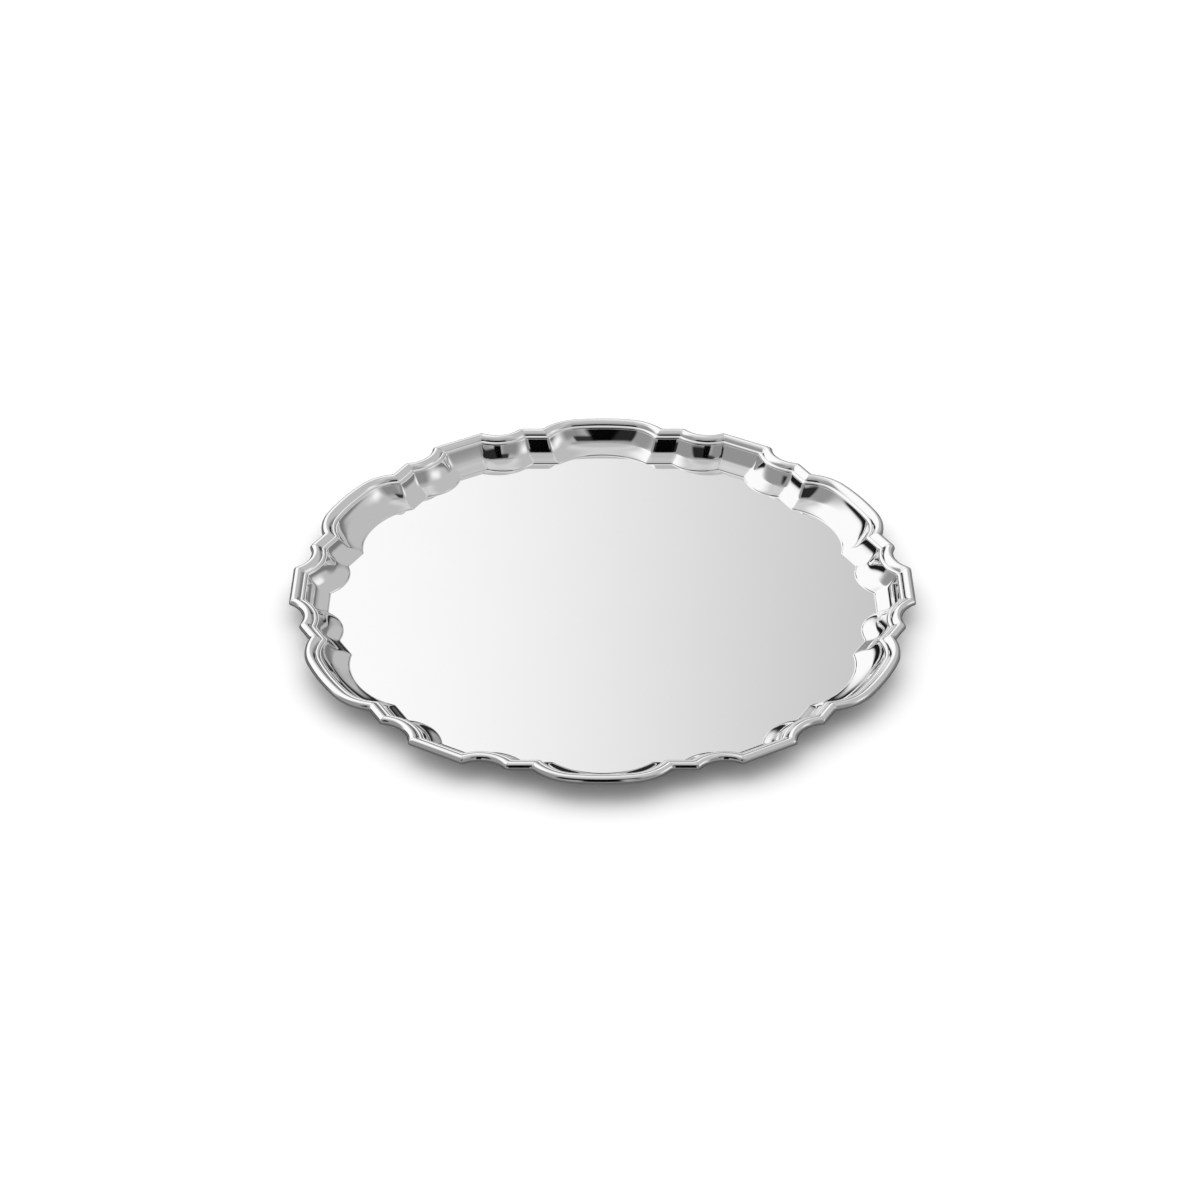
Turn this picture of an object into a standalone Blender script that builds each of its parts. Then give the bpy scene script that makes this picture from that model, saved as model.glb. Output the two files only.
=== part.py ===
"""A silver salver with a Chippendale border: a raised body and 36 mitred lengths of applied moulding.

Metres, +Z up. The origin is the centre of the flat underside, and +Y is the axis of one lobe.
Plan shapes are drawn for one of the six repeats, with X along the axis of its lobe, then turned.
A place across the border is an inset, the distance inwards from the outer edge, and a height.
"""

from dataclasses import dataclass, replace
from math import acos, atan2, cos, hypot, pi, radians, sin, tan

import bmesh
import bpy
from mathutils import Matrix

MM = 0.001

# The border repeats a lobe, a step, a scallop, a straight bracket, a scallop and a step.
REPEATS = 6
REPEAT_ANGLE = 2 * pi / REPEATS
BRACKET_ANGLE = REPEAT_ANGLE / 2
FIRST_LOBE_ANGLE = radians(90)

# The sheet that the body is raised from, and how high its border stands.
SHEET = 1.2 * MM
RIM_HEIGHT = 13.25 * MM
FLANGE_INSET = 1.5 * MM
FLANGE_DROP = 2.8 * MM

# The wall: a steep cove under the moulding, then a long slope down to the well.
WALL_INSET = 7.65 * MM
COVE_TOP_SLOPE = radians(72)
COVE_FOOT_SLOPE = radians(46)
COVE_FOOT_INSET = 11.1 * MM
COVE_FOOT_DROP = 8.3 * MM
SLOPE_TOP_ANGLE = radians(34)
SLOPE_FOOT_ANGLE = radians(22)
SLOPE_FOOT_INSET = 17.7 * MM
SLOPE_FOOT_RISE = 0.35 * MM
WELL_INSET = 18.3 * MM

# The applied moulding: an upright edge, a broad roll and a thin bead, over a lip that hides the
# body's edge. Each curve turns evenly from one heading to the next over its length.
LIP_DROP = 2.65 * MM
LIP_WIDTH = 1.2 * MM
EDGE_HEIGHT = 0.28 * MM
SHOULDER_HEADING, SHOULDER_LENGTH = radians(38), 2.2 * MM
CROWN_HEADING, CROWN_LENGTH = radians(0), 1.45 * MM
ROLL_END_HEADING, ROLL_END_LENGTH = radians(-38), 2.56 * MM
FLANK_HEADING, FLANK_LENGTH = radians(-43), 1.25 * MM
BEAD_START_HEADING, BEAD_END_HEADING, BEAD_LENGTH = radians(10), radians(-72), 1.8 * MM
SOLE_RISE = 0.3 * MM

# Each end of a length of moulding stops this far short of its mitre.
MITRE_TRIM = 0.2 * MM

# How finely curves are divided.
LOBE_STEPS = 4
SHOULDER_STEPS = 4
SCALLOP_STEPS = 6
COVE_STEPS = 3
SLOPE_STEPS = 2
SHOULDER_PARTS = 2
CROWN_PARTS = 2
ROLL_END_PARTS = 3
BEAD_PARTS = 3
SHARP_ANGLE = radians(32)


@dataclass(frozen=True)
class Outline:
    """A closed border line, by its curves in one repeat."""

    lobe_crown: float
    lobe_radius: float
    lobe_half_angle: float
    shoulder_radius: float
    step: float
    scallop_x: float
    scallop_y: float
    scallop_radius: float
    bracket: float

    def inset(self, distance):
        """The line that runs this far inside, with the same corners mitred."""
        return replace(
            self,
            lobe_crown=self.lobe_crown - distance,
            lobe_radius=self.lobe_radius - distance,
            shoulder_radius=self.shoulder_radius - distance,
            step=self.step - distance,
            scallop_radius=self.scallop_radius + distance,
            bracket=self.bracket - distance,
        )


RIM = Outline(
    lobe_crown=154.4 * MM,
    lobe_radius=115.7 * MM,
    lobe_half_angle=radians(7.3),
    shoulder_radius=27.2 * MM,
    step=144.1 * MM,
    scallop_x=152 * MM,
    scallop_y=56 * MM,
    scallop_radius=14.3 * MM,
    bracket=153.2 * MM,
)

WELL = Outline(
    lobe_crown=134.2 * MM,
    lobe_radius=39 * MM,
    lobe_half_angle=radians(16),
    shoulder_radius=32 * MM,
    step=126.1 * MM,
    scallop_x=138.7 * MM,
    scallop_y=52 * MM,
    scallop_radius=20 * MM,
    bracket=134.7 * MM,
)


def spaced(start, end, steps):
    return [start + (end - start) * i / steps for i in range(steps + 1)]


def arc(centre, radius, start, end, steps):
    """Points along an arc, both ends included."""
    x, y = centre
    return [(x + radius * cos(a), y + radius * sin(a)) for a in spaced(start, end, steps)]


def flipped(points):
    """The same run on the other side of the lobe's axis, still anticlockwise."""
    return [(x, -y) for x, y in reversed(points)]


def turned(points, angle):
    return [(x * cos(angle) - y * sin(angle), x * sin(angle) + y * cos(angle)) for x, y in points]


def lobe_run(line, trim):
    """A flat arc with a tighter shoulder at each end."""
    centre_x = line.lobe_crown - line.lobe_radius
    reach = line.lobe_radius - line.shoulder_radius
    shoulder = (
        centre_x + reach * cos(line.lobe_half_angle),
        reach * sin(line.lobe_half_angle),
    )
    end_angle = acos((line.step - shoulder[0]) / line.shoulder_radius) - trim / line.shoulder_radius
    crown = arc(
        (centre_x, 0), line.lobe_radius, -line.lobe_half_angle, line.lobe_half_angle, LOBE_STEPS
    )
    side = arc(
        shoulder, line.shoulder_radius, line.lobe_half_angle, end_angle, SHOULDER_STEPS
    )
    return flipped(side)[:-1] + crown + side[1:]


def scallop_run(line, trim):
    """A hollow arc from the step to the bracket."""
    centre = (line.scallop_x, line.scallop_y)
    along_bracket = line.scallop_x * cos(BRACKET_ANGLE) + line.scallop_y * sin(BRACKET_ANGLE)
    start = 2 * pi - acos((line.step - line.scallop_x) / line.scallop_radius)
    end = BRACKET_ANGLE + acos((line.bracket - along_bracket) / line.scallop_radius)
    back = trim / line.scallop_radius
    return arc(centre, line.scallop_radius, start - back, end + back, SCALLOP_STEPS)


def straight_run(start, end, trim):
    """A straight line between two corners, stopping short of both."""
    length = hypot(end[0] - start[0], end[1] - start[1])
    dx, dy = (end[0] - start[0]) / length * trim, (end[1] - start[1]) / length * trim
    return [(start[0] + dx, start[1] + dy), (end[0] - dx, end[1] - dy)]


def runs(line, trim=0.0):
    """The six runs of one repeat by name, anticlockwise from its lobe."""
    notch = lobe_run(line, 0)[-1]
    scallop_ends = scallop_run(line, 0)
    cusp, corner = scallop_ends[0], scallop_ends[-1]
    far_corner = turned(flipped([corner]), REPEAT_ANGLE)[0]
    step = straight_run(notch, cusp, trim)
    scallop = scallop_run(line, trim)
    return {
        "lobe": lobe_run(line, trim),
        "step_a": step,
        "scallop_a": scallop,
        "bracket": straight_run(corner, far_corner, trim),
        "scallop_b": turned(flipped(scallop), REPEAT_ANGLE),
        "step_b": turned(flipped(step), REPEAT_ANGLE),
    }


def ring(inset):
    """All the points round the border at one inset. The wall eases from the rim's line to the well's."""
    if inset <= WALL_INSET:
        repeat = runs(RIM.inset(inset))
    elif inset >= WELL_INSET:
        repeat = runs(WELL.inset(inset - WELL_INSET))
    else:
        share = (inset - WALL_INSET) / (WELL_INSET - WALL_INSET)
        outer, inner = runs(RIM.inset(WALL_INSET)), runs(WELL)
        repeat = {
            name: [
                (a[0] + (b[0] - a[0]) * share, a[1] + (b[1] - a[1]) * share)
                for a, b in zip(outer[name], inner[name])
            ]
            for name in outer
        }
    one = [point for run in repeat.values() for point in run[:-1]]
    return [
        point
        for i in range(REPEATS)
        for point in turned(one, FIRST_LOBE_ANGLE + i * REPEAT_ANGLE)
    ]


def eased(start, start_slope, end, end_slope, steps):
    """A curve as (inset, height) that leaves its start and reaches its end at the given slopes."""
    across, down = end[0] - start[0], start[1] - end[1]
    first, last = (cos(start_slope), sin(start_slope)), (cos(end_slope), sin(end_slope))
    reach = (across * last[1] - down * last[0]) / (first[0] * last[1] - first[1] * last[0])
    bend = (start[0] + first[0] * reach, start[1] - first[1] * reach)
    return [
        tuple((1 - u) ** 2 * start[k] + 2 * u * (1 - u) * bend[k] + u * u * end[k] for k in range(2))
        for u in spaced(0, 1, steps)
    ]


def wall_profile():
    """The hollow wall as (inset, height), from under the moulding to its foot."""
    top = (WALL_INSET, RIM_HEIGHT - FLANGE_DROP)
    cove_foot = (COVE_FOOT_INSET, RIM_HEIGHT - COVE_FOOT_DROP)
    slope_foot = (SLOPE_FOOT_INSET, SHEET + SLOPE_FOOT_RISE)
    cove = eased(top, COVE_TOP_SLOPE, cove_foot, COVE_FOOT_SLOPE, COVE_STEPS)
    return cove[:-1] + eased(cove_foot, SLOPE_TOP_ANGLE, slope_foot, SLOPE_FOOT_ANGLE, SLOPE_STEPS)


def under_sheet(profile):
    """The other face of the sheet, parallel to a profile that runs inwards."""
    slopes = [atan2(a[1] - b[1], b[0] - a[0]) for a, b in zip(profile, profile[1:])]
    before, after = [slopes[0]] + slopes, slopes + [slopes[-1]]
    lower = []
    for (inset, height), a, b in zip(profile, before, after):
        middle, depth = (a + b) / 2, SHEET / cos((a - b) / 2)
        lower.append((inset - depth * sin(middle), height - depth * cos(middle)))
    return lower


def body_profile():
    """Both faces of the body, from the middle of the underside round to the middle of the well."""
    upper = [(FLANGE_INSET, RIM_HEIGHT - FLANGE_DROP)]
    upper += wall_profile()
    upper.append((WELL_INSET, SHEET))
    lower = under_sheet(upper)
    lower[-1] = (lower[-1][0], 0.0)
    return lower[::-1] + upper


def turning(start, heading, turn_to, length, parts):
    """Points after the start of a curve that turns evenly from one heading to another."""
    points = [start]
    for i in range(parts):
        middle = heading + (turn_to - heading) * (i + 0.5) / parts
        inset, height = points[-1]
        points.append((inset + length / parts * cos(middle), height + length / parts * sin(middle)))
    return points[1:]


def moulding_profile():
    """The section of the moulding as (inset, height), anticlockwise from under its lip."""
    lip = RIM_HEIGHT - LIP_DROP
    sole = RIM_HEIGHT - FLANGE_DROP + SOLE_RISE
    points = [(LIP_WIDTH, sole), (LIP_WIDTH, lip), (0, lip), (0, lip + EDGE_HEIGHT)]
    curves = (
        (radians(90), SHOULDER_HEADING, SHOULDER_LENGTH, SHOULDER_PARTS),
        (SHOULDER_HEADING, CROWN_HEADING, CROWN_LENGTH, CROWN_PARTS),
        (CROWN_HEADING, ROLL_END_HEADING, ROLL_END_LENGTH, ROLL_END_PARTS),
        (FLANK_HEADING, FLANK_HEADING, FLANK_LENGTH, 1),
        (BEAD_START_HEADING, BEAD_END_HEADING, BEAD_LENGTH, BEAD_PARTS),
    )
    for heading, turn_to, length, parts in curves:
        points += turning(points[-1], heading, turn_to, length, parts)
    inset, height = points[-1]
    return points + [(inset + (height - sole) / tan(-BEAD_END_HEADING), sole)]


def mesh_from(name, points, faces):
    """A closed mesh with its faces out, smooth except at real edges."""
    mesh = bpy.data.meshes.new(name)
    mesh.from_pydata(points, [], faces)
    shape = bmesh.new()
    shape.from_mesh(mesh)
    bmesh.ops.recalc_face_normals(shape, faces=shape.faces)
    shape.to_mesh(mesh)
    shape.free()
    mesh.shade_smooth()
    mesh.set_sharp_from_angle(angle=SHARP_ANGLE)
    return mesh


def body_mesh():
    """The well, its wall and the flange, as one raised sheet."""
    profile = body_profile()
    points, faces = [], []
    for inset, height in profile:
        points += [(x, y, height) for x, y in ring(inset)]
    around = len(points) // len(profile)
    for row in range(len(profile) - 1):
        for i in range(around):
            j = (i + 1) % around
            low, high = row * around, (row + 1) * around
            faces.append((low + i, low + j, high + j, high + i))
    underside, ground = range(around), range(len(points) - around, len(points))
    faces += [tuple(underside), tuple(ground)]
    return mesh_from("salver_body", points, faces)


def moulding_mesh(run_name):
    """One mitred length of moulding, in the frame of its repeat."""
    profile = moulding_profile()
    rows = [
        [(x, y, height) for x, y in runs(RIM.inset(inset), MITRE_TRIM)[run_name]]
        for inset, height in profile
    ]
    along, size = len(rows[0]), len(profile)
    points = [rows[k][i] for i in range(along) for k in range(size)]
    faces = [
        (i * size + k, i * size + (k + 1) % size, (i + 1) * size + (k + 1) % size, (i + 1) * size + k)
        for i in range(along - 1)
        for k in range(size)
    ]
    faces += [tuple(range(size)), tuple(range((along - 1) * size, along * size))]
    return mesh_from("moulding_" + run_name, points, faces)


def silver(name, roughness):
    """Polished silver, bright and almost neutral."""
    material = bpy.data.materials.new(name)
    material.use_nodes = True
    surface = material.node_tree.nodes["Principled BSDF"]
    surface.inputs["Base Color"].default_value = (0.93, 0.925, 0.91, 1)
    surface.inputs["Metallic"].default_value = 1
    surface.inputs["Roughness"].default_value = roughness
    return material


def add(name, mesh, material, parent):
    mesh.materials.clear()
    mesh.materials.append(material)
    piece = bpy.data.objects.new(name, mesh)
    piece.parent = parent
    bpy.context.scene.collection.objects.link(piece)


def empty(name, parent=None):
    place = bpy.data.objects.new(name, None)
    place.parent = parent
    bpy.context.scene.collection.objects.link(place)
    return place


def main():
    for old in list(bpy.data.objects):
        bpy.data.objects.remove(old)
    salver = empty("salver")
    add("salver_body", body_mesh(), silver("body_silver", 0.04), salver)
    moulding_silver = silver("moulding_silver", 0.05)
    lengths = {name: moulding_mesh(name) for name in runs(RIM)}
    for i in range(REPEATS):
        repeat = empty(f"repeat_{i + 1}", salver)
        repeat.matrix_basis = Matrix.Rotation(FIRST_LOBE_ANGLE + i * REPEAT_ANGLE, 4, "Z")
        for name, mesh in lengths.items():
            kind, _, side = name.partition("_")
            number = 2 * i + (2 if side == "b" else 1) if side else i + 1
            add(f"moulding_{kind}_{number}", mesh, moulding_silver, repeat)


main()
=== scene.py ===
"""A polished silver salver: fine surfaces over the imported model, in a plain pale studio.

Metres, +Z up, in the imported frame: the origin is the centre of the flat underside and +Y is the
axis of one lobe. Plan shapes are drawn for one of the six repeats, with X along its lobe's axis.
A section is drawn as (inset, height): the distance inwards from the outer edge, and the height.
"""

from dataclasses import dataclass, replace
from math import acos, atan2, cos, pi, radians, sin, tan

import bpy
import numpy as np
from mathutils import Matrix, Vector

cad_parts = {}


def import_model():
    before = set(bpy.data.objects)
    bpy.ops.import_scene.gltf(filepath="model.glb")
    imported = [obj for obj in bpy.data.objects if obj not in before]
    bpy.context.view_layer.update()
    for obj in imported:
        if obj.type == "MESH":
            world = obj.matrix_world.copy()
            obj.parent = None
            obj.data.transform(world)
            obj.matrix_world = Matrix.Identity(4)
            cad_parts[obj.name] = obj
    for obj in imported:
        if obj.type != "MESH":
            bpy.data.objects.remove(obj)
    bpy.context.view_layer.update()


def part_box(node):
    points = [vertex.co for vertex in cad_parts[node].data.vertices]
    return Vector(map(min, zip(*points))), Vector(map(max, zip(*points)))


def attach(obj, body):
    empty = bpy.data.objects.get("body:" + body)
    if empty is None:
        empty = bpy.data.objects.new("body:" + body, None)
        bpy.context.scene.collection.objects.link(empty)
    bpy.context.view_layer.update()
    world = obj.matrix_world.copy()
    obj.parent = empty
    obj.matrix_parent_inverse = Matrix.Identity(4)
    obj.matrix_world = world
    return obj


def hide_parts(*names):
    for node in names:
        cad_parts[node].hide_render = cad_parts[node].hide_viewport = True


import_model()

MM = 0.001

# The border repeats a lobe, a step, a scallop, a straight bracket, a scallop and a step.
REPEATS = 6
REPEAT_ANGLE = 2 * pi / REPEATS
BRACKET_ANGLE = REPEAT_ANGLE / 2
FIRST_LOBE_ANGLE = radians(90)

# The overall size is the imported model's.
LOBE_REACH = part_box("moulding_lobe_1")[1].y
BRACKET_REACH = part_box("moulding_bracket_5")[1].x
RIM_HEIGHT = 13.25 * MM
SHEET = 1.2 * MM

# The body's section: a ledge under the moulding, a steep cove, a bend, a long hollow slope, a
# crease where it meets the well and a fillet.
FLANGE_INSET = 1.5 * MM
FLANGE_DROP = 2.8 * MM
WALL_INSET = 7.65 * MM
WELL_INSET = 18.3 * MM
COVE_TOP_SLOPE = radians(66)
COVE_FOOT_SLOPE = radians(46)
BEND_LENGTH = 0.6 * MM
SLOPE_TOP_ANGLE = radians(33)
SLOPE_MIDDLE_ANGLE = radians(22)
SLOPE_FOOT_ANGLE = radians(24)
CREASE_SLOPE = radians(52)
CREASE_TURN_LENGTH = 0.1 * MM
CREASE_LENGTH = 0.25 * MM
FILLET_LENGTH = 0.7 * MM

# The moulding's section: a lip, an upright edge, a broad roll with a quirk inside it, and a bead.
LIP_DROP = 2.65 * MM
EDGE_LENGTH = 0.33 * MM
ROLL_LEGS = (
    (radians(80), 0.60 * MM),
    (radians(60), 0.60 * MM),
    (radians(38), 1.00 * MM),
    (radians(12), 0.84 * MM),
    (radians(0), 0.60 * MM),
    (radians(-14), 0.70 * MM),
    (radians(-36), 1.45 * MM),
    (radians(-40), 0.90 * MM),
    (radians(-50), 0.30 * MM),
    (radians(-51), 0.62 * MM),
)
BEAD_START_HEADING = radians(12)
BEAD_END_SLOPE = radians(60)
BEAD_LENGTH = 2.1 * MM

# How far corners are softened along the border at the moulding, halfway down and at the well.
MOULDING_SOFT = 0.7 * MM
COVE_SOFT = 0.8 * MM
WALL_SOFT = 1.0 * MM
WELL_SOFT = 0.5 * MM

# How finely the surfaces are divided.
LOBE_COLUMNS, STEP_COLUMNS, SCALLOP_COLUMNS, BRACKET_COLUMNS = 44, 14, 26, 20
SECTION_TURN = radians(6)
SECTION_STEP = 1.0 * MM

# The flat well and underside: a rim of the well's own, then rings that get rounder towards the
# middle. Each reaches this share as far out as the ring before it, and has a third of its points.
WELL_RIM = 0.2 * MM
WELL_RINGS = (0.9, 0.66, 0.36)
WELL_THINNING = 3

# The gap round each length of moulding, too fine to see.
HAIRLINE = 0.01 * MM


@dataclass(frozen=True)
class Outline:
    """A closed border line, by its curves in one repeat."""

    lobe_crown: float
    lobe_radius: float
    lobe_half_angle: float
    shoulder_radius: float
    step: float
    scallop_x: float
    scallop_y: float
    scallop_radius: float
    bracket: float

    def inset(self, distance):
        """The line that runs this far inside, with the same corners mitred."""
        return replace(
            self,
            lobe_crown=self.lobe_crown - distance,
            lobe_radius=self.lobe_radius - distance,
            shoulder_radius=self.shoulder_radius - distance,
            step=self.step - distance,
            scallop_radius=self.scallop_radius + distance,
            bracket=self.bracket - distance,
        )


RIM = Outline(
    lobe_crown=LOBE_REACH,
    lobe_radius=115.7 * MM,
    lobe_half_angle=radians(7.3),
    shoulder_radius=27.2 * MM,
    step=144.1 * MM,
    scallop_x=152 * MM,
    scallop_y=56 * MM,
    scallop_radius=14.3 * MM,
    bracket=BRACKET_REACH,
)

WELL = Outline(
    lobe_crown=134.2 * MM,
    lobe_radius=39 * MM,
    lobe_half_angle=radians(16),
    shoulder_radius=32 * MM,
    step=126.1 * MM,
    scallop_x=138.7 * MM,
    scallop_y=52 * MM,
    scallop_radius=20 * MM,
    bracket=134.7 * MM,
)


def eased(columns):
    """Shares from 0 to 1, closer together near both ends, where the corners are."""
    return (1 - np.cos(np.linspace(0, pi, columns + 1))) / 2


def turned(points, angle):
    """Plan points turned anticlockwise about the middle."""
    x, y = points[:, 0], points[:, 1]
    return np.column_stack((x * cos(angle) - y * sin(angle), x * sin(angle) + y * cos(angle)))


def flipped(points):
    """The same run on the other side of the lobe's axis, still anticlockwise."""
    return points[::-1] * (1, -1)


def around(centre, radius, angles):
    """Points of an arc."""
    x, y = centre
    return np.column_stack((x + radius * np.cos(angles), y + radius * np.sin(angles)))


def straight(start, end, columns):
    """Points of a straight run."""
    share = eased(columns)[:, None]
    return start * (1 - share) + end * share


def shoulder_of(line):
    """The centre of a lobe's shoulder arc, and the angle at which it meets the step."""
    reach = line.lobe_radius - line.shoulder_radius
    x = line.lobe_crown - line.lobe_radius + reach * cos(line.lobe_half_angle)
    y = reach * sin(line.lobe_half_angle)
    return (x, y), acos((line.step - x) / line.shoulder_radius)


def crown_share():
    """How much of half a lobe's length on the rim is its flat middle arc."""
    _, end = shoulder_of(RIM)
    crown = RIM.lobe_radius * RIM.lobe_half_angle
    return crown / (crown + RIM.shoulder_radius * (end - RIM.lobe_half_angle))


CROWN_SHARE = crown_share()


def lobe_run(line):
    """A flat arc with a tighter shoulder at each end."""
    share = eased(LOBE_COLUMNS) * 2 - 1
    outer = share[share > CROWN_SHARE]
    inner = share[abs(share) <= CROWN_SHARE]
    shoulder, end = shoulder_of(line)
    half = line.lobe_half_angle
    crown_centre = (line.lobe_crown - line.lobe_radius, 0)
    crown = around(crown_centre, line.lobe_radius, half * inner / CROWN_SHARE)
    side_angles = half + (end - half) * (outer - CROWN_SHARE) / (1 - CROWN_SHARE)
    side = around(shoulder, line.shoulder_radius, side_angles)
    return np.vstack((flipped(side), crown, side))


def scallop_run(line):
    """A hollow arc from the step to the bracket."""
    along = line.scallop_x * cos(BRACKET_ANGLE) + line.scallop_y * sin(BRACKET_ANGLE)
    start = 2 * pi - acos((line.step - line.scallop_x) / line.scallop_radius)
    end = BRACKET_ANGLE + acos((line.bracket - along) / line.scallop_radius)
    angles = start + (end - start) * eased(SCALLOP_COLUMNS)
    return around((line.scallop_x, line.scallop_y), line.scallop_radius, angles)


def runs(line):
    """The six runs of one repeat by name, anticlockwise from its lobe."""
    lobe, scallop = lobe_run(line), scallop_run(line)
    step = straight(lobe[-1], scallop[0], STEP_COLUMNS)
    far_corner = turned(flipped(scallop[-1:]), REPEAT_ANGLE)[0]
    return {
        "lobe": lobe,
        "step_a": step,
        "scallop_a": scallop,
        "bracket": straight(scallop[-1], far_corner, BRACKET_COLUMNS),
        "scallop_b": turned(flipped(scallop), REPEAT_ANGLE),
        "step_b": turned(flipped(step), REPEAT_ANGLE),
    }


def sharp_ring(inset):
    """All the points round the border at one inset. The wall eases from the rim's line to the
    well's."""
    if inset <= WALL_INSET:
        repeat = runs(RIM.inset(inset))
    elif inset >= WELL_INSET:
        repeat = runs(WELL.inset(inset - WELL_INSET))
    else:
        share = (inset - WALL_INSET) / (WELL_INSET - WALL_INSET)
        outer, inner = runs(RIM.inset(WALL_INSET)), runs(WELL)
        repeat = {name: outer[name] * (1 - share) + inner[name] * share for name in outer}
    one = np.vstack([run[:-1] for run in repeat.values()])
    return np.vstack([turned(one, FIRST_LOBE_ANGLE + i * REPEAT_ANGLE) for i in range(REPEATS)])


def run_spans():
    """The first and last column of every run, with its moulding node's name."""
    lengths = {name: len(run) - 1 for name, run in runs(RIM).items()}
    spans, column = [], 0
    for i in range(REPEATS):
        for name, length in lengths.items():
            kind, _, side = name.partition("_")
            number = 2 * i + (2 if side == "b" else 1) if side else i + 1
            spans.append((f"moulding_{kind}_{number}", column, column + length))
            column += length
    return spans


def softener():
    """A function that softens a ring's corners, by averaging along the border over a spread."""
    ring = sharp_ring(0)
    gaps = np.linalg.norm(np.roll(ring, -1, 0) - ring, axis=1)
    places = np.concatenate(([0], np.cumsum(gaps)[:-1]))
    apart = abs(places[:, None] - places)
    apart = np.minimum(apart, gaps.sum() - apart)
    weights = (gaps + np.roll(gaps, 1)) / 2

    def soften(points, spread):
        share = np.exp(-(apart**2) / (2 * spread**2)) * weights
        return share @ points / share.sum(axis=1, keepdims=True)

    return soften


soften = softener()


def spread_at(inset):
    """How soft the corners are at one inset."""
    middle = (WALL_INSET + WELL_INSET) / 2
    places = (WALL_INSET, middle, WELL_INSET)
    return np.interp(inset, places, (COVE_SOFT, WALL_SOFT, WELL_SOFT))


def ring_at(inset, height, spread):
    """The border's points at one place of a section, with soft corners."""
    ring = soften(sharp_ring(inset), spread)
    return np.column_stack((ring, np.full(len(ring), height)))


def walk(start, heading, legs):
    """Points of a smooth section from a start. Each leg turns evenly to its heading."""
    points = [start]
    for turn_to, length in legs:
        steps = max(1, round(abs(turn_to - heading) / SECTION_TURN), round(length / SECTION_STEP))
        for i in range(steps):
            middle = heading + (turn_to - heading) * (i + 0.5) / steps
            inset, height = points[-1]
            stride = length / steps
            points.append((inset + stride * cos(middle), height + stride * sin(middle)))
        heading = turn_to
    return points


def reach_of(start_slope, end_slope):
    """How far (in, down) an evenly turning leg of unit length goes."""
    turn = start_slope - end_slope
    inwards = sin(start_slope) - sin(end_slope)
    down = cos(end_slope) - cos(start_slope)
    return np.array((inwards / turn, down / turn))


def wall_section():
    """The wall from the flange to the well. The cove and the slope are as long as that needs."""
    start = np.array((WALL_INSET, RIM_HEIGHT - FLANGE_DROP))
    needed = np.array((WELL_INSET - start[0], start[1] - SHEET))
    needed -= BEND_LENGTH * reach_of(COVE_FOOT_SLOPE, SLOPE_TOP_ANGLE)
    needed -= CREASE_TURN_LENGTH * reach_of(SLOPE_FOOT_ANGLE, CREASE_SLOPE)
    needed -= CREASE_LENGTH * np.array((cos(CREASE_SLOPE), sin(CREASE_SLOPE)))
    needed -= FILLET_LENGTH * reach_of(CREASE_SLOPE, 0)
    cove_way = reach_of(COVE_TOP_SLOPE, COVE_FOOT_SLOPE)
    slope_way = reach_of(SLOPE_TOP_ANGLE, SLOPE_MIDDLE_ANGLE)
    slope_way = slope_way + reach_of(SLOPE_MIDDLE_ANGLE, SLOPE_FOOT_ANGLE)
    cove, half_slope = np.linalg.solve(np.column_stack((cove_way, slope_way)), needed)
    legs = (
        (-COVE_FOOT_SLOPE, cove),
        (-SLOPE_TOP_ANGLE, BEND_LENGTH),
        (-SLOPE_MIDDLE_ANGLE, half_slope),
        (-SLOPE_FOOT_ANGLE, half_slope),
        (-CREASE_SLOPE, CREASE_TURN_LENGTH),
        (-CREASE_SLOPE, CREASE_LENGTH),
        (0, FILLET_LENGTH),
    )
    return walk(tuple(start), -COVE_TOP_SLOPE, legs)


def under_sheet(section):
    """The other face of the sheet, parallel to a section that runs inwards."""
    slopes = [atan2(a[1] - b[1], b[0] - a[0]) for a, b in zip(section, section[1:])]
    before, after = [slopes[0]] + slopes, slopes + [slopes[-1]]
    lower = []
    for (inset, height), a, b in zip(section, before, after):
        middle, depth = (a + b) / 2, SHEET / cos((a - b) / 2)
        lower.append((inset - depth * sin(middle), height - depth * cos(middle)))
    return lower


def moulding_section():
    """The moulding as pieces of a closed section, each smooth: roll, bead, sole, then its lip."""
    lip = (0, RIM_HEIGHT - LIP_DROP)
    upright = radians(90)
    roll = walk(lip, upright, ((upright, EDGE_LENGTH), *ROLL_LEGS))
    bead = walk(roll[-1], BEAD_START_HEADING, ((-BEAD_END_SLOPE, BEAD_LENGTH),))
    sole = RIM_HEIGHT - FLANGE_DROP + HAIRLINE
    foot = (bead[-1][0] + (bead[-1][1] - sole) / tan(BEAD_END_SLOPE), sole)
    step = (FLANGE_INSET - HAIRLINE, sole)
    return [roll, bead + [foot], [foot, step], [step, (step[0], lip[1])], [(step[0], lip[1]), lip]]


def slopes_between(points, axis, closed):
    """Directions along one axis of a grid of points, true to second order for uneven spacing."""
    grid = np.moveaxis(points, axis, 0)
    ahead = np.roll(grid, -1, 0) - grid
    behind = np.roll(ahead, 1, 0)
    long_ahead = (ahead**2).sum(-1, keepdims=True)
    long_behind = (behind**2).sum(-1, keepdims=True)
    middle = long_behind * ahead + long_ahead * behind
    if not closed:
        middle[0], middle[-1] = ahead[0], behind[-1]
    return np.moveaxis(middle / np.linalg.norm(middle, axis=-1, keepdims=True), 0, axis)


def smooth_normals(points, along=None):
    """Unit normals of a grid of rings, outwards when the rings run inwards over the top."""
    if along is None:
        along = slopes_between(points, 1, True)
    across = slopes_between(points, 0, False)
    normals = np.cross(along, across)
    return normals / np.linalg.norm(normals, axis=-1, keepdims=True)


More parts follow.
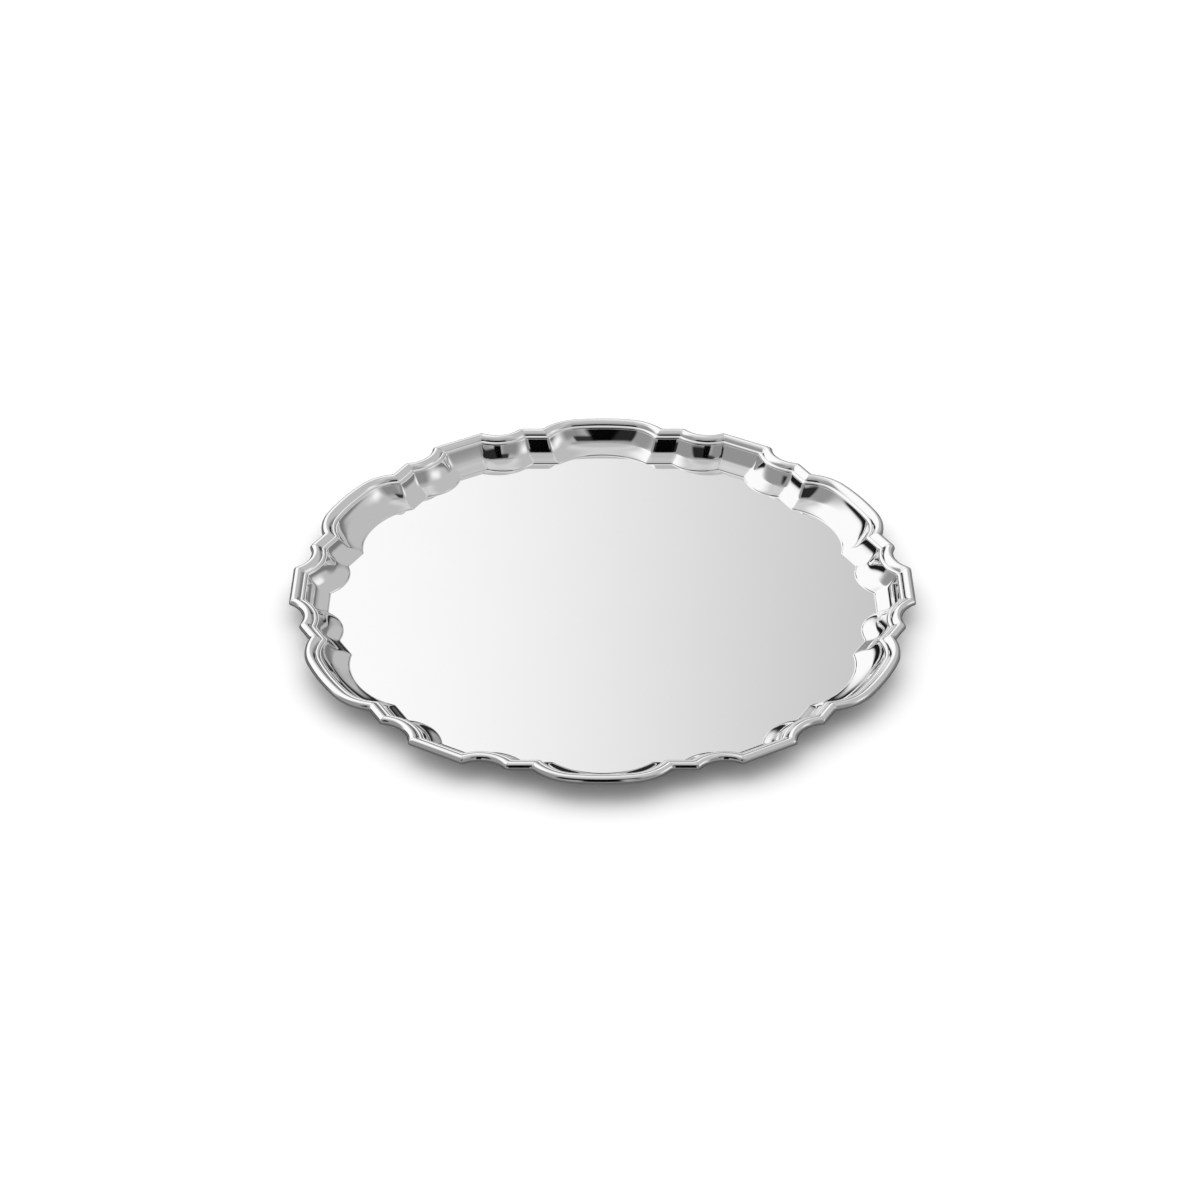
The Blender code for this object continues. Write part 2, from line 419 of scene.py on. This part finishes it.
class Skin:
    """A mesh gathered from strips of rings, with a true normal at every corner of every face."""

    def __init__(self):
        self.points, self.faces, self.normals = [], [], []

    def add_points(self, points):
        first = len(self.points)
        self.points.extend(map(tuple, points))
        return np.arange(first, len(self.points))

    def face(self, corners, normals):
        self.faces.append([int(c) for c in corners])
        self.normals.extend(map(tuple, normals))

    def strip(self, low, high, low_normals, high_normals, closed):
        """Quads between two rows of points."""
        for i in range(len(low) if closed else len(low) - 1):
            j = (i + 1) % len(low)
            corners = (low[i], low[j], high[j], high[i])
            normals = (low_normals[i], low_normals[j], high_normals[j], high_normals[i])
            self.face(corners, normals)

    def mesh(self, name):
        mesh = bpy.data.meshes.new(name)
        mesh.from_pydata(self.points, [], self.faces)
        mesh.validate()
        mesh.shade_smooth()
        mesh.normals_split_custom_set(self.normals)
        return mesh


def thin_to_middle(skin, ring, height, up):
    """Closes a flat ring with rings of fewer and fewer points, and a point in the middle."""
    normal = (0, 0, 1 if up else -1)
    outer, shape = ring, np.array([skin.points[i] for i in ring])

    def add(corners):
        corners = list(corners) if up else list(corners)[::-1]
        skin.face(corners, [normal] * len(corners))

    for share in WELL_RINGS:
        shape = shape[::WELL_THINNING, :2]
        reach = np.linalg.norm(shape, axis=1, keepdims=True)
        round_shape = shape / reach * reach.mean()
        plan = (shape * share + round_shape * (1 - share)) * share
        inner = skin.add_points(np.column_stack((plan, np.full(len(plan), height))))
        for j in range(len(inner)):
            k = (j + 1) % len(inner)
            edge = [outer[(j * WELL_THINNING + n) % len(outer)] for n in range(WELL_THINNING + 1)]
            add(edge + [inner[k], inner[j]])
        outer = inner
        shape = np.array([skin.points[i] for i in inner])
    middle = skin.add_points([(0, 0, height)])[0]
    for j in range(len(outer)):
        add((outer[j], outer[(j + 1) % len(outer)], middle))


def body_mesh():
    """The well, its wall and the flange, as one raised sheet."""
    wall = wall_section()
    flange = (FLANGE_INSET, RIM_HEIGHT - FLANGE_DROP)
    well_edge = (WELL_INSET + WELL_RIM, SHEET)
    upper = [flange] + wall + [well_edge]
    lower = under_sheet(upper)
    lower = [(inset, max(height, 0)) for inset, height in lower]
    lower[-1] = (lower[-1][0], 0)
    smooth_parts = [lower[::-1], [lower[0], flange], [flange, wall[0]], wall + [well_edge]]
    skin = Skin()
    rows = {}
    for part in smooth_parts:
        grid = np.array([ring_at(d, z, spread_at(max(d, 0))) for d, z in part])
        normals = smooth_normals(grid)
        if part[-1] == well_edge:
            normals[-2:] = (0, 0, 1)
        if part[0] == lower[-1]:
            normals[:2] = (0, 0, -1)
        for place, ring in zip(part, grid):
            if place not in rows:
                rows[place] = skin.add_points(ring)
        for k in range(len(part) - 1):
            skin.strip(rows[part[k]], rows[part[k + 1]], normals[k], normals[k + 1], True)
    thin_to_middle(skin, rows[well_edge], SHEET, True)
    thin_to_middle(skin, rows[lower[-1]], 0, False)
    return skin.mesh("salver_body_silver")


def moulding_grids():
    """The moulding's smooth parts as grids of rings with their normals, round the whole border."""
    grids = []
    for part in moulding_section():
        grid = np.array([ring_at(d, z, MOULDING_SOFT) for d, z in part])
        grids.append((grid, smooth_normals(grid)))
    return grids


def moulding_mesh(name, grids, first, last):
    """One mitred length of moulding, closed at both ends, a hairline short of its neighbours."""
    skin = Skin()
    columns = np.arange(first, last + 1) % grids[0][0].shape[1]
    outline_rows = []
    for grid, normals in grids:
        piece = grid[:, columns].copy()
        for end, beside in ((0, 1), (-1, -2)):
            way = piece[:, beside] - piece[:, end]
            piece[:, end] += way / np.linalg.norm(way, axis=-1, keepdims=True) * HAIRLINE
        rows = [outline_rows[-1]] if outline_rows else [skin.add_points(piece[0])]
        closing = grid is grids[-1][0]
        for k in range(1, len(piece)):
            last_row = closing and k == len(piece) - 1
            rows.append(outline_rows[0] if last_row else skin.add_points(piece[k]))
        for k in range(len(rows) - 1):
            skin.strip(rows[k], rows[k + 1], normals[k, columns], normals[k + 1, columns], False)
        outline_rows.extend(rows if not outline_rows else rows[1:])
    for end, order in ((0, 1), (-1, -1)):
        corners = [row[end] for row in outline_rows[:-1]]
        ring = np.array([skin.points[c] for c in corners])
        normal = np.cross(ring, np.roll(ring, -1, 0)).sum(axis=0) * -order
        normal /= np.linalg.norm(normal)
        skin.face(corners[::-order], [normal] * len(corners))
    return skin.mesh(name)


# Polished silver: its colour, a cloudy haze and fine wipe marks that run one way. Scales are per
# metre. It is clean below the first level of haze times wipe marks and hazed above the second.
SILVER = (0.95, 0.95, 0.95)
HAZED_SHARE = 0.98
HAZE_SCALE, HAZE_DETAIL = 28, 4
WIPE_DETAIL = 3
WIPE_STRETCH = 14
WIPE_ANGLE = radians(24)
CLEAN_LEVEL, HAZED_LEVEL = 0.12, 0.45
WIPE_BUMP = 0.02
WIPE_DEPTH = 0.02 * MM


def node(tree, kind, **settings):
    """A new node with these settings."""
    made = tree.nodes.new(kind)
    for key, value in settings.items():
        setattr(made, key, value)
    return made


def silver(name, clean_roughness, hazed_roughness, wipe_scale):
    """A near-mirror with a faint polishing haze and hairline wipe marks."""
    material = bpy.data.materials.new(name)
    material.use_nodes = True
    tree = material.node_tree
    surface = tree.nodes["Principled BSDF"]
    surface.inputs["Metallic"].default_value = 1
    place = node(tree, "ShaderNodeTexCoord")

    cloud = node(tree, "ShaderNodeTexNoise")
    cloud.inputs["Scale"].default_value = HAZE_SCALE
    cloud.inputs["Detail"].default_value = HAZE_DETAIL
    stretch = node(tree, "ShaderNodeMapping")
    stretch.inputs["Scale"].default_value = (1, WIPE_STRETCH, 1)
    stretch.inputs["Rotation"].default_value = (0, 0, WIPE_ANGLE)
    wipes = node(tree, "ShaderNodeTexNoise")
    wipes.inputs["Scale"].default_value = wipe_scale
    wipes.inputs["Detail"].default_value = WIPE_DETAIL
    tree.links.new(place.outputs["Object"], cloud.inputs["Vector"])
    tree.links.new(place.outputs["Object"], stretch.inputs["Vector"])
    tree.links.new(stretch.outputs["Vector"], wipes.inputs["Vector"])

    mixed = node(tree, "ShaderNodeMath", operation="MULTIPLY")
    tree.links.new(cloud.outputs["Fac"], mixed.inputs[0])
    tree.links.new(wipes.outputs["Fac"], mixed.inputs[1])
    rough = node(tree, "ShaderNodeMapRange")
    rough.inputs["From Min"].default_value = CLEAN_LEVEL
    rough.inputs["From Max"].default_value = HAZED_LEVEL
    rough.inputs["To Min"].default_value = clean_roughness
    rough.inputs["To Max"].default_value = hazed_roughness
    tree.links.new(mixed.outputs["Value"], rough.inputs["Value"])
    tree.links.new(rough.outputs["Result"], surface.inputs["Roughness"])

    tint = node(tree, "ShaderNodeMix", data_type="RGBA")
    tint.inputs["A"].default_value = (*SILVER, 1)
    tint.inputs["B"].default_value = (*(HAZED_SHARE * part for part in SILVER), 1)
    tree.links.new(cloud.outputs["Fac"], tint.inputs["Factor"])
    tree.links.new(tint.outputs["Result"], surface.inputs["Base Color"])

    bump = node(tree, "ShaderNodeBump")
    bump.inputs["Strength"].default_value = WIPE_BUMP
    bump.inputs["Distance"].default_value = WIPE_DEPTH
    tree.links.new(wipes.outputs["Fac"], bump.inputs["Height"])
    tree.links.new(bump.outputs["Normal"], surface.inputs["Normal"])
    return material


def piece(name, mesh, material, slot, *nodes):
    """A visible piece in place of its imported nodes."""
    mesh.materials.append(material)
    made = bpy.data.objects.new(name, mesh)
    bpy.context.scene.collection.objects.link(made)
    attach(made, "root")
    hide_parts(*nodes)


def salver():
    """The body and the 36 lengths of moulding."""
    body = silver("body_silver", clean_roughness=0.025, hazed_roughness=0.055, wipe_scale=90)
    moulding = silver("moulding_silver", clean_roughness=0.03, hazed_roughness=0.06, wipe_scale=140)
    piece("salver_body_silver", body_mesh(), body, "body_silver", "salver_body")
    grids = moulding_grids()
    for name, first, last in run_spans():
        mesh = moulding_mesh(name + "_silver", grids, first, last)
        piece(name + "_silver", mesh, moulding, "moulding_silver", name)


# The studio is lit in three separate ways, each tuned to the photograph and none of them
# physical: a key light and a fill light on the floor, the panels below in the silver's
# reflections, and a white backdrop for the camera. The key light comes from high up behind the
# salver, a little to the left.
WHITE = (1, 1, 1, 1)
BACKDROP_LIGHT = 1.4
KEY_ELEVATION, KEY_AZIMUTH = radians(46), radians(-18)
FILL_LIGHT, KEY_LIGHT = 0.60, 1.95

# The floor, just under the salver. In reflections it is a painted glow with a painted shadow:
# dark within the first distance from the middle and lit beyond the second.
FLOOR_WHITE = 0.84
FLOOR_ROUGHNESS = 0.9
FLOOR_PAINTED_SHADOW_REACH, FLOOR_PAINTED_GLOW_REACH = 0.11, 0.25
FLOOR_PAINTED_SHADOW, FLOOR_PAINTED_GLOW = 0.01, 0.30
FLOOR_HALF = 6.0
FLOOR_GAP = 0.02 * MM


def floor():
    """A white floor. Reflected, it is a painted glow, darkened under the tray by painted shadow."""
    material = bpy.data.materials.new("studio_floor")
    material.use_nodes = True
    tree = material.node_tree
    surface = tree.nodes["Principled BSDF"]
    surface.inputs["Base Color"].default_value = (FLOOR_WHITE, FLOOR_WHITE, FLOOR_WHITE, 1)
    surface.inputs["Roughness"].default_value = FLOOR_ROUGHNESS
    surface.inputs["Specular IOR Level"].default_value = 0
    # Reflections see a painted glow in place of the floor, with painted shadow near the tray.
    place = node(tree, "ShaderNodeTexCoord")
    reach = node(tree, "ShaderNodeVectorMath", operation="LENGTH")
    painted_shadow_ramp = node(tree, "ShaderNodeMapRange")
    painted_shadow_ramp.inputs["From Min"].default_value = FLOOR_PAINTED_SHADOW_REACH
    painted_shadow_ramp.inputs["From Max"].default_value = FLOOR_PAINTED_GLOW_REACH
    painted_shadow_ramp.inputs["To Min"].default_value = FLOOR_PAINTED_SHADOW
    painted_shadow_ramp.inputs["To Max"].default_value = FLOOR_PAINTED_GLOW
    tree.links.new(place.outputs["Object"], reach.inputs[0])
    tree.links.new(reach.outputs["Value"], painted_shadow_ramp.inputs["Value"])
    painted_glow = node(tree, "ShaderNodeEmission")
    painted_glow.inputs["Color"].default_value = WHITE
    tree.links.new(painted_shadow_ramp.outputs["Result"], painted_glow.inputs["Strength"])
    rays = node(tree, "ShaderNodeLightPath")
    pick = node(tree, "ShaderNodeMixShader")
    tree.links.new(rays.outputs["Is Glossy Ray"], pick.inputs["Fac"])
    tree.links.new(surface.outputs["BSDF"], pick.inputs[1])
    tree.links.new(painted_glow.outputs["Emission"], pick.inputs[2])
    tree.links.new(pick.outputs["Shader"], tree.nodes["Material Output"].inputs["Surface"])
    mesh = bpy.data.meshes.new("studio_floor")
    corners = ((-1, -1), (1, -1), (1, 1), (-1, 1))
    points = [(x * FLOOR_HALF, y * FLOOR_HALF, 0) for x, y in corners]
    mesh.from_pydata(points, [], [(0, 1, 2, 3)])
    mesh.materials.append(material)
    made = bpy.data.objects.new("studio_floor", mesh)
    made.location.z = -FLOOR_GAP
    bpy.context.scene.collection.objects.link(made)


@dataclass(frozen=True)
class Panel:
    """A softbox or a dark flag, far off: its middle, half size and edge softness in degrees."""

    azimuth: float
    elevation: float
    half_width: float
    half_height: float
    soft: float
    brightness: float


# The studio in the silver's reflections: an even room, and each panel in front of those before
# it. Azimuth 0 is behind the salver, 90 to its right and 180 at the camera.
ROOM = 0.52
PANELS = (
    Panel(-125, 20, 40, 45, 14, 0.30),
    Panel(-39, 38, 41, 26, 9, 1.02),
    Panel(98, 29, 13, 10, 9, 0.95),
    Panel(0, 73, 90, 5, 5, 0.66),
    Panel(180, 66, 60, 8, 6, 0.36),
    Panel(38, 10, 24, 9, 8, 0.25),
    Panel(-51, 1, 30, 11, 3, 0.01),
    Panel(8, 1, 20, 10, 3, 0.02),
    Panel(45, 2, 16, 9, 3, 0.20),
    Panel(82, 3, 30, 8, 4, 0.20),
    Panel(145, 25, 24, 25, 10, 0.26),
    Panel(198, 42, 24, 18, 5, 0.02),
    Panel(162, 53, 14, 8, 4, 0.03),
    Panel(180, 23, 9, 35, 2, 0.001),
)


def falling(tree, value, half, soft):
    """A value that is 1 within a half width and falls smoothly to 0 outside it, on both sides."""
    size = node(tree, "ShaderNodeMath", operation="ABSOLUTE")
    edge = node(tree, "ShaderNodeMapRange", interpolation_type="SMOOTHSTEP")
    edge.inputs["From Min"].default_value = radians(half - soft)
    edge.inputs["From Max"].default_value = radians(half + soft)
    edge.inputs["To Min"].default_value = 1
    edge.inputs["To Max"].default_value = 0
    tree.links.new(value, size.inputs[0])
    tree.links.new(size.outputs["Value"], edge.inputs["Value"])
    return edge.outputs["Result"]


def studio_brightness(tree):
    """How bright the studio is in each direction, as a node output."""
    place = node(tree, "ShaderNodeTexCoord")
    split = node(tree, "ShaderNodeSeparateXYZ")
    azimuth = node(tree, "ShaderNodeMath", operation="ARCTAN2")
    elevation = node(tree, "ShaderNodeMath", operation="ARCSINE")
    tree.links.new(place.outputs["Generated"], split.inputs["Vector"])
    tree.links.new(split.outputs["X"], azimuth.inputs[0])
    tree.links.new(split.outputs["Y"], azimuth.inputs[1])
    tree.links.new(split.outputs["Z"], elevation.inputs[0])
    brightness = None
    for panel in PANELS:
        across = node(tree, "ShaderNodeMath", operation="SUBTRACT")
        across.inputs[1].default_value = radians(panel.azimuth)
        wrapped = node(tree, "ShaderNodeMath", operation="WRAP")
        wrapped.inputs[1].default_value = pi
        wrapped.inputs[2].default_value = -pi
        up = node(tree, "ShaderNodeMath", operation="SUBTRACT")
        up.inputs[1].default_value = radians(panel.elevation)
        mask = node(tree, "ShaderNodeMath", operation="MULTIPLY")
        shown = node(tree, "ShaderNodeMix")
        shown.inputs["A"].default_value = ROOM
        shown.inputs["B"].default_value = panel.brightness
        tree.links.new(azimuth.outputs["Value"], across.inputs[0])
        tree.links.new(across.outputs["Value"], wrapped.inputs[0])
        tree.links.new(elevation.outputs["Value"], up.inputs[0])
        wide = falling(tree, wrapped.outputs["Value"], panel.half_width, panel.soft)
        high = falling(tree, up.outputs["Value"], panel.half_height, panel.soft)
        tree.links.new(wide, mask.inputs[0])
        tree.links.new(high, mask.inputs[1])
        tree.links.new(mask.outputs["Value"], shown.inputs["Factor"])
        if brightness:
            tree.links.new(brightness, shown.inputs["A"])
        brightness = shown.outputs["Result"]
    return brightness


def background(tree, strength=1.0):
    """A white world light. Its strength may be linked instead."""
    made = node(tree, "ShaderNodeBackground")
    made.inputs["Color"].default_value = WHITE
    made.inputs["Strength"].default_value = strength
    return made


def world():
    """The studio in reflections, light from above and behind on the floor, and a white backdrop."""
    made = bpy.data.worlds.new("studio")
    made.use_nodes = True
    tree = made.node_tree
    tree.nodes.clear()
    rays = node(tree, "ShaderNodeLightPath")
    place = node(tree, "ShaderNodeTexCoord")
    towards_key = node(tree, "ShaderNodeVectorMath", operation="DOT_PRODUCT")
    towards_key.inputs[1].default_value = (
        cos(KEY_ELEVATION) * sin(KEY_AZIMUTH),
        cos(KEY_ELEVATION) * cos(KEY_AZIMUTH),
        sin(KEY_ELEVATION),
    )
    fading = node(tree, "ShaderNodeMapRange")
    fading.inputs["To Min"].default_value = FILL_LIGHT
    fading.inputs["To Max"].default_value = KEY_LIGHT
    tree.links.new(place.outputs["Generated"], towards_key.inputs[0])
    tree.links.new(towards_key.outputs["Value"], fading.inputs["Value"])
    lamp = background(tree)
    tree.links.new(fading.outputs["Result"], lamp.inputs["Strength"])
    studio = background(tree)
    tree.links.new(studio_brightness(tree), studio.inputs["Strength"])
    seen = background(tree, BACKDROP_LIGHT).outputs["Background"]
    for is_ray, light in (("Is Diffuse Ray", lamp), ("Is Glossy Ray", studio)):
        pick = node(tree, "ShaderNodeMixShader")
        tree.links.new(rays.outputs[is_ray], pick.inputs["Fac"])
        tree.links.new(seen, pick.inputs[1])
        tree.links.new(light.outputs["Background"], pick.inputs[2])
        seen = pick.outputs["Shader"]
    out = node(tree, "ShaderNodeOutputWorld")
    tree.links.new(seen, out.inputs["Surface"])
    bpy.context.scene.world = made


# The camera, fitted to the corners of the photographed outline. Lens and sensor are in millimetres.
CAMERA_ELEVATION = radians(35.38)
CAMERA_DISTANCE = 1.495
CAMERA_LENS, CAMERA_SENSOR = 90.4, 36
CAMERA_AIM = Vector((-0.23 * MM, 0.84 * MM, SHEET))


def camera():
    """The photograph's viewpoint, in front of the salver and above it."""
    made = bpy.data.objects.new("camera", bpy.data.cameras.new("camera"))
    made.data.sensor_width = CAMERA_SENSOR
    made.data.lens = CAMERA_LENS
    back = Vector((0, -cos(CAMERA_ELEVATION), sin(CAMERA_ELEVATION)))
    made.location = CAMERA_AIM + back * CAMERA_DISTANCE
    made.rotation_euler = (pi / 2 - CAMERA_ELEVATION, 0, 0)
    bpy.context.scene.collection.objects.link(made)
    bpy.context.scene.camera = made


bpy.context.scene.view_settings.view_transform = "Standard"
camera()
floor()
world()
salver()
